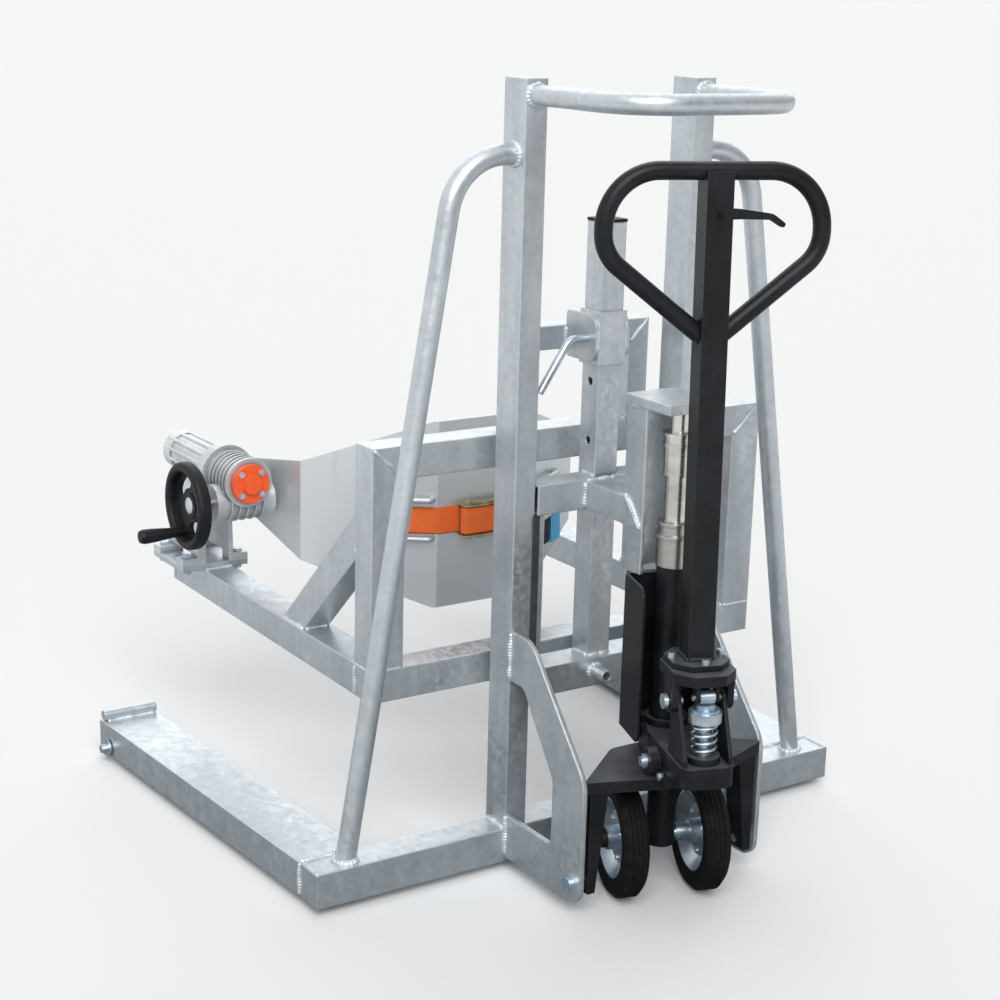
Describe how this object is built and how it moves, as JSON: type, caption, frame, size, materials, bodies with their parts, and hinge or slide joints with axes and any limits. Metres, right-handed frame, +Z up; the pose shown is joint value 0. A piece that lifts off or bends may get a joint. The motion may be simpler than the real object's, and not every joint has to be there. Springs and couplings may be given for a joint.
{
  "type": "drum lifting trolley",
  "caption": "Hand-pushed trolley that grips a steel drum in a strapped cradle, lifts it with a hydraulic hand pump and tilts it with a cranked worm gear.",
  "frame": {"origin": "floor point under the axis of a drum standing in the cradle", "axes": "+X to the right seen from the tiller, +Y forward from the tiller towards the open side of the cradle, +Z up"},
  "size_m": [1.2144, 1.2896, 1.32],
  "materials": {
    "galvanised_steel": "hot-dip galvanised",
    "black_powder_coat": "satin powder coat",
    "zinc_steel": "bright zinc plated",
    "bright_steel": "ground and hard chromed",
    "nylon": "turned polyamide",
    "tyre_rubber": "moulded, matt",
    "black_plastic": "moulded, fine grain",
    "cast_aluminium": "sand cast, blasted",
    "orange_paint": "gloss paint",
    "grey_paint": "satin paint",
    "orange_webbing": "woven polyester",
    "yellow_zinc": "yellow passivated zinc"
  },
  "bodies": {
    "ground_frame": {"base_rear_tube": "galvanised_steel", "legs": "galvanised_steel", "masts": "galvanised_steel", "push_bar": "galvanised_steel", "braces": "galvanised_steel", "gusset_plates": "galvanised_steel", "bridge": "black_powder_coat", "bridge_bolts": "zinc_steel", "load_axles": "zinc_steel"},
    "left_roller": {"left_load_roller": "nylon"},
    "right_roller": {"right_load_roller": "nylon"},
    "steer_unit": {"pump_body": "black_powder_coat", "king_tube": "black_powder_coat", "lift_cylinder": "black_powder_coat", "pump_guard": "black_powder_coat", "pump_cheeks": "black_powder_coat", "wheel_axle": "zinc_steel", "pump_fittings": "zinc_steel", "pump_spring": "zinc_steel"},
    "left_wheel": {"left_wheel_rim": "zinc_steel", "left_wheel_tyre": "tyre_rubber"},
    "right_wheel": {"right_wheel_rim": "zinc_steel", "right_wheel_tyre": "tyre_rubber"},
    "tiller": {"tiller_fork": "black_powder_coat", "tiller_tube": "black_powder_coat", "tiller_loop": "black_powder_coat", "tiller_bolts": "zinc_steel"},
    "pressure_roller": {"press_roller": "zinc_steel"},
    "release": {"release_lever": "black_plastic"},
    "piston": {"pump_piston": "zinc_steel"},
    "ram_first_stage": {"ram_stage": "bright_steel"},
    "carriage": {"post": "galvanised_steel", "post_cap": "black_plastic", "cross_tubes": "galvanised_steel", "slide_shoes": "black_plastic", "ram_channel": "galvanised_steel", "ram_rod": "bright_steel"},
    "tilt_frame": {"frame_rails": "galvanised_steel", "frame_arms": "galvanised_steel", "frame_braces": "galvanised_steel", "portal": "galvanised_steel", "sleeve": "galvanised_steel", "bearing_stand": "galvanised_steel", "gear_housing": "cast_aluminium", "small_gear_housing": "cast_aluminium", "gear_cover": "orange_paint", "gear_bolts": "zinc_steel"},
    "height_pin": {"lock_pin": "zinc_steel"},
    "cradle": {"cradle_shell": "grey_paint", "trunnions": "zinc_steel", "trunnion_bolts": "zinc_steel", "strap_rails": "zinc_steel", "strap": "orange_webbing", "strap_hooks": "yellow_zinc", "ratchet_frame": "yellow_zinc"},
    "ratchet_lever": {"ratchet_handle": "yellow_zinc"},
    "middle_worm": {"worm_shaft": "bright_steel"},
    "crank": {"handwheel": "black_plastic", "crank_worm": "bright_steel"},
    "grip": {"crank_grip": "black_plastic"}
  },
  "joints": [
    {"name": "left_roller_spin", "type": "hinge", "parent": "ground_frame", "child": "left_roller", "pos_m": [-0.53512, 0.079, 0.03], "axis": [1, 0, 0], "continuous": true},
    {"name": "right_roller_spin", "type": "hinge", "parent": "ground_frame", "child": "right_roller", "pos_m": [0.53512, 0.079, 0.03], "axis": [1, 0, 0], "continuous": true},
    {"name": "steer", "type": "hinge", "parent": "ground_frame", "child": "steer_unit", "pos_m": [0, -0.87, 0.1], "axis": [0, 0, 1], "range_deg": [-41.5, 78.5]},
    {"name": "left_wheel_spin", "type": "hinge", "parent": "steer_unit", "child": "left_wheel", "pos_m": [-0.06638, -0.84779, 0.1], "axis": [0.9483, -0.3173, 0], "continuous": true},
    {"name": "right_wheel_spin", "type": "hinge", "parent": "steer_unit", "child": "right_wheel", "pos_m": [0.06638, -0.89221, 0.1], "axis": [0.9483, -0.3173, 0], "continuous": true},
    {"name": "pump_stroke", "type": "hinge", "parent": "steer_unit", "child": "tiller", "pos_m": [-0.04506, -1.00466, 0.392], "axis": [0.9483, -0.3173, 0], "range_deg": [0, 50], "stiffness_Nm_per_rad": 60, "springref_deg": -14.32},
    {"name": "pressure_roller_spin", "type": "hinge", "parent": "tiller", "child": "pressure_roller", "pos_m": [-0.05458, -1.03311, 0.406], "axis": [0.9483, -0.3173, 0], "continuous": true},
    {"name": "release_pull", "type": "hinge", "parent": "tiller", "child": "release", "pos_m": [-0.0307, -0.96175, 1.13753], "axis": [-0.3171, -0.9477, 0.037], "range_deg": [0, 12], "stiffness_Nm_per_rad": 2, "springref_deg": -17.19},
    {"name": "piston_stroke", "type": "slide", "parent": "steer_unit", "child": "piston", "axis": [0, 0, -1], "range_m": [0, 0.0285], "deforming": ["pump_spring"]},
    {"name": "first_stage_lift", "type": "slide", "parent": "steer_unit", "child": "ram_first_stage", "axis": [0, 0, 1], "range_m": [0, 0.226]},
    {"name": "lift", "type": "slide", "parent": "ground_frame", "child": "carriage", "axis": [0, 0, 1], "range_m": [0, 0.45]},
    {"name": "height_set", "type": "slide", "parent": "carriage", "child": "tilt_frame", "axis": [0, 0, 1], "range_m": [-0.1, 0]},
    {"name": "height_pin_push", "type": "slide", "parent": "tilt_frame", "child": "height_pin", "axis": [1, 0, 0], "range_m": [0, 0.02]},
    {"name": "tilt", "type": "hinge", "parent": "tilt_frame", "child": "cradle", "pos_m": [0, 0.118, 0.52], "axis": [1, 0, 0], "continuous": true},
    {"name": "middle_worm_spin", "type": "hinge", "parent": "tilt_frame", "child": "middle_worm", "pos_m": [-0.373, 0, 0.566], "axis": [0, 1, 0], "continuous": true},
    {"name": "crank_spin", "type": "hinge", "parent": "tilt_frame", "child": "crank", "pos_m": [-0.476, -0.05, 0.526], "axis": [1, 0, 0], "continuous": true},
    {"name": "grip_spin", "type": "hinge", "parent": "crank", "child": "grip", "pos_m": [-0.52, -0.02827, 0.47222], "axis": [1, 0, 0], "continuous": true},
    {"name": "ratchet_swing", "type": "hinge", "parent": "cradle", "child": "ratchet_lever", "pos_m": [-0.042, -0.3197, 0.51], "axis": [0, 0, -1], "range_deg": [0, 100]}
  ],
  "couplings": [
    {"joint": "piston_stroke", "follows": "pump_stroke", "m_per_rad": 0.0325},
    {"joint": "first_stage_lift", "follows": "lift", "ratio": 0.5},
    {"joint": "middle_worm_spin", "follows": "tilt", "ratio": 10},
    {"joint": "crank_spin", "follows": "tilt", "ratio": 60}
  ]
}
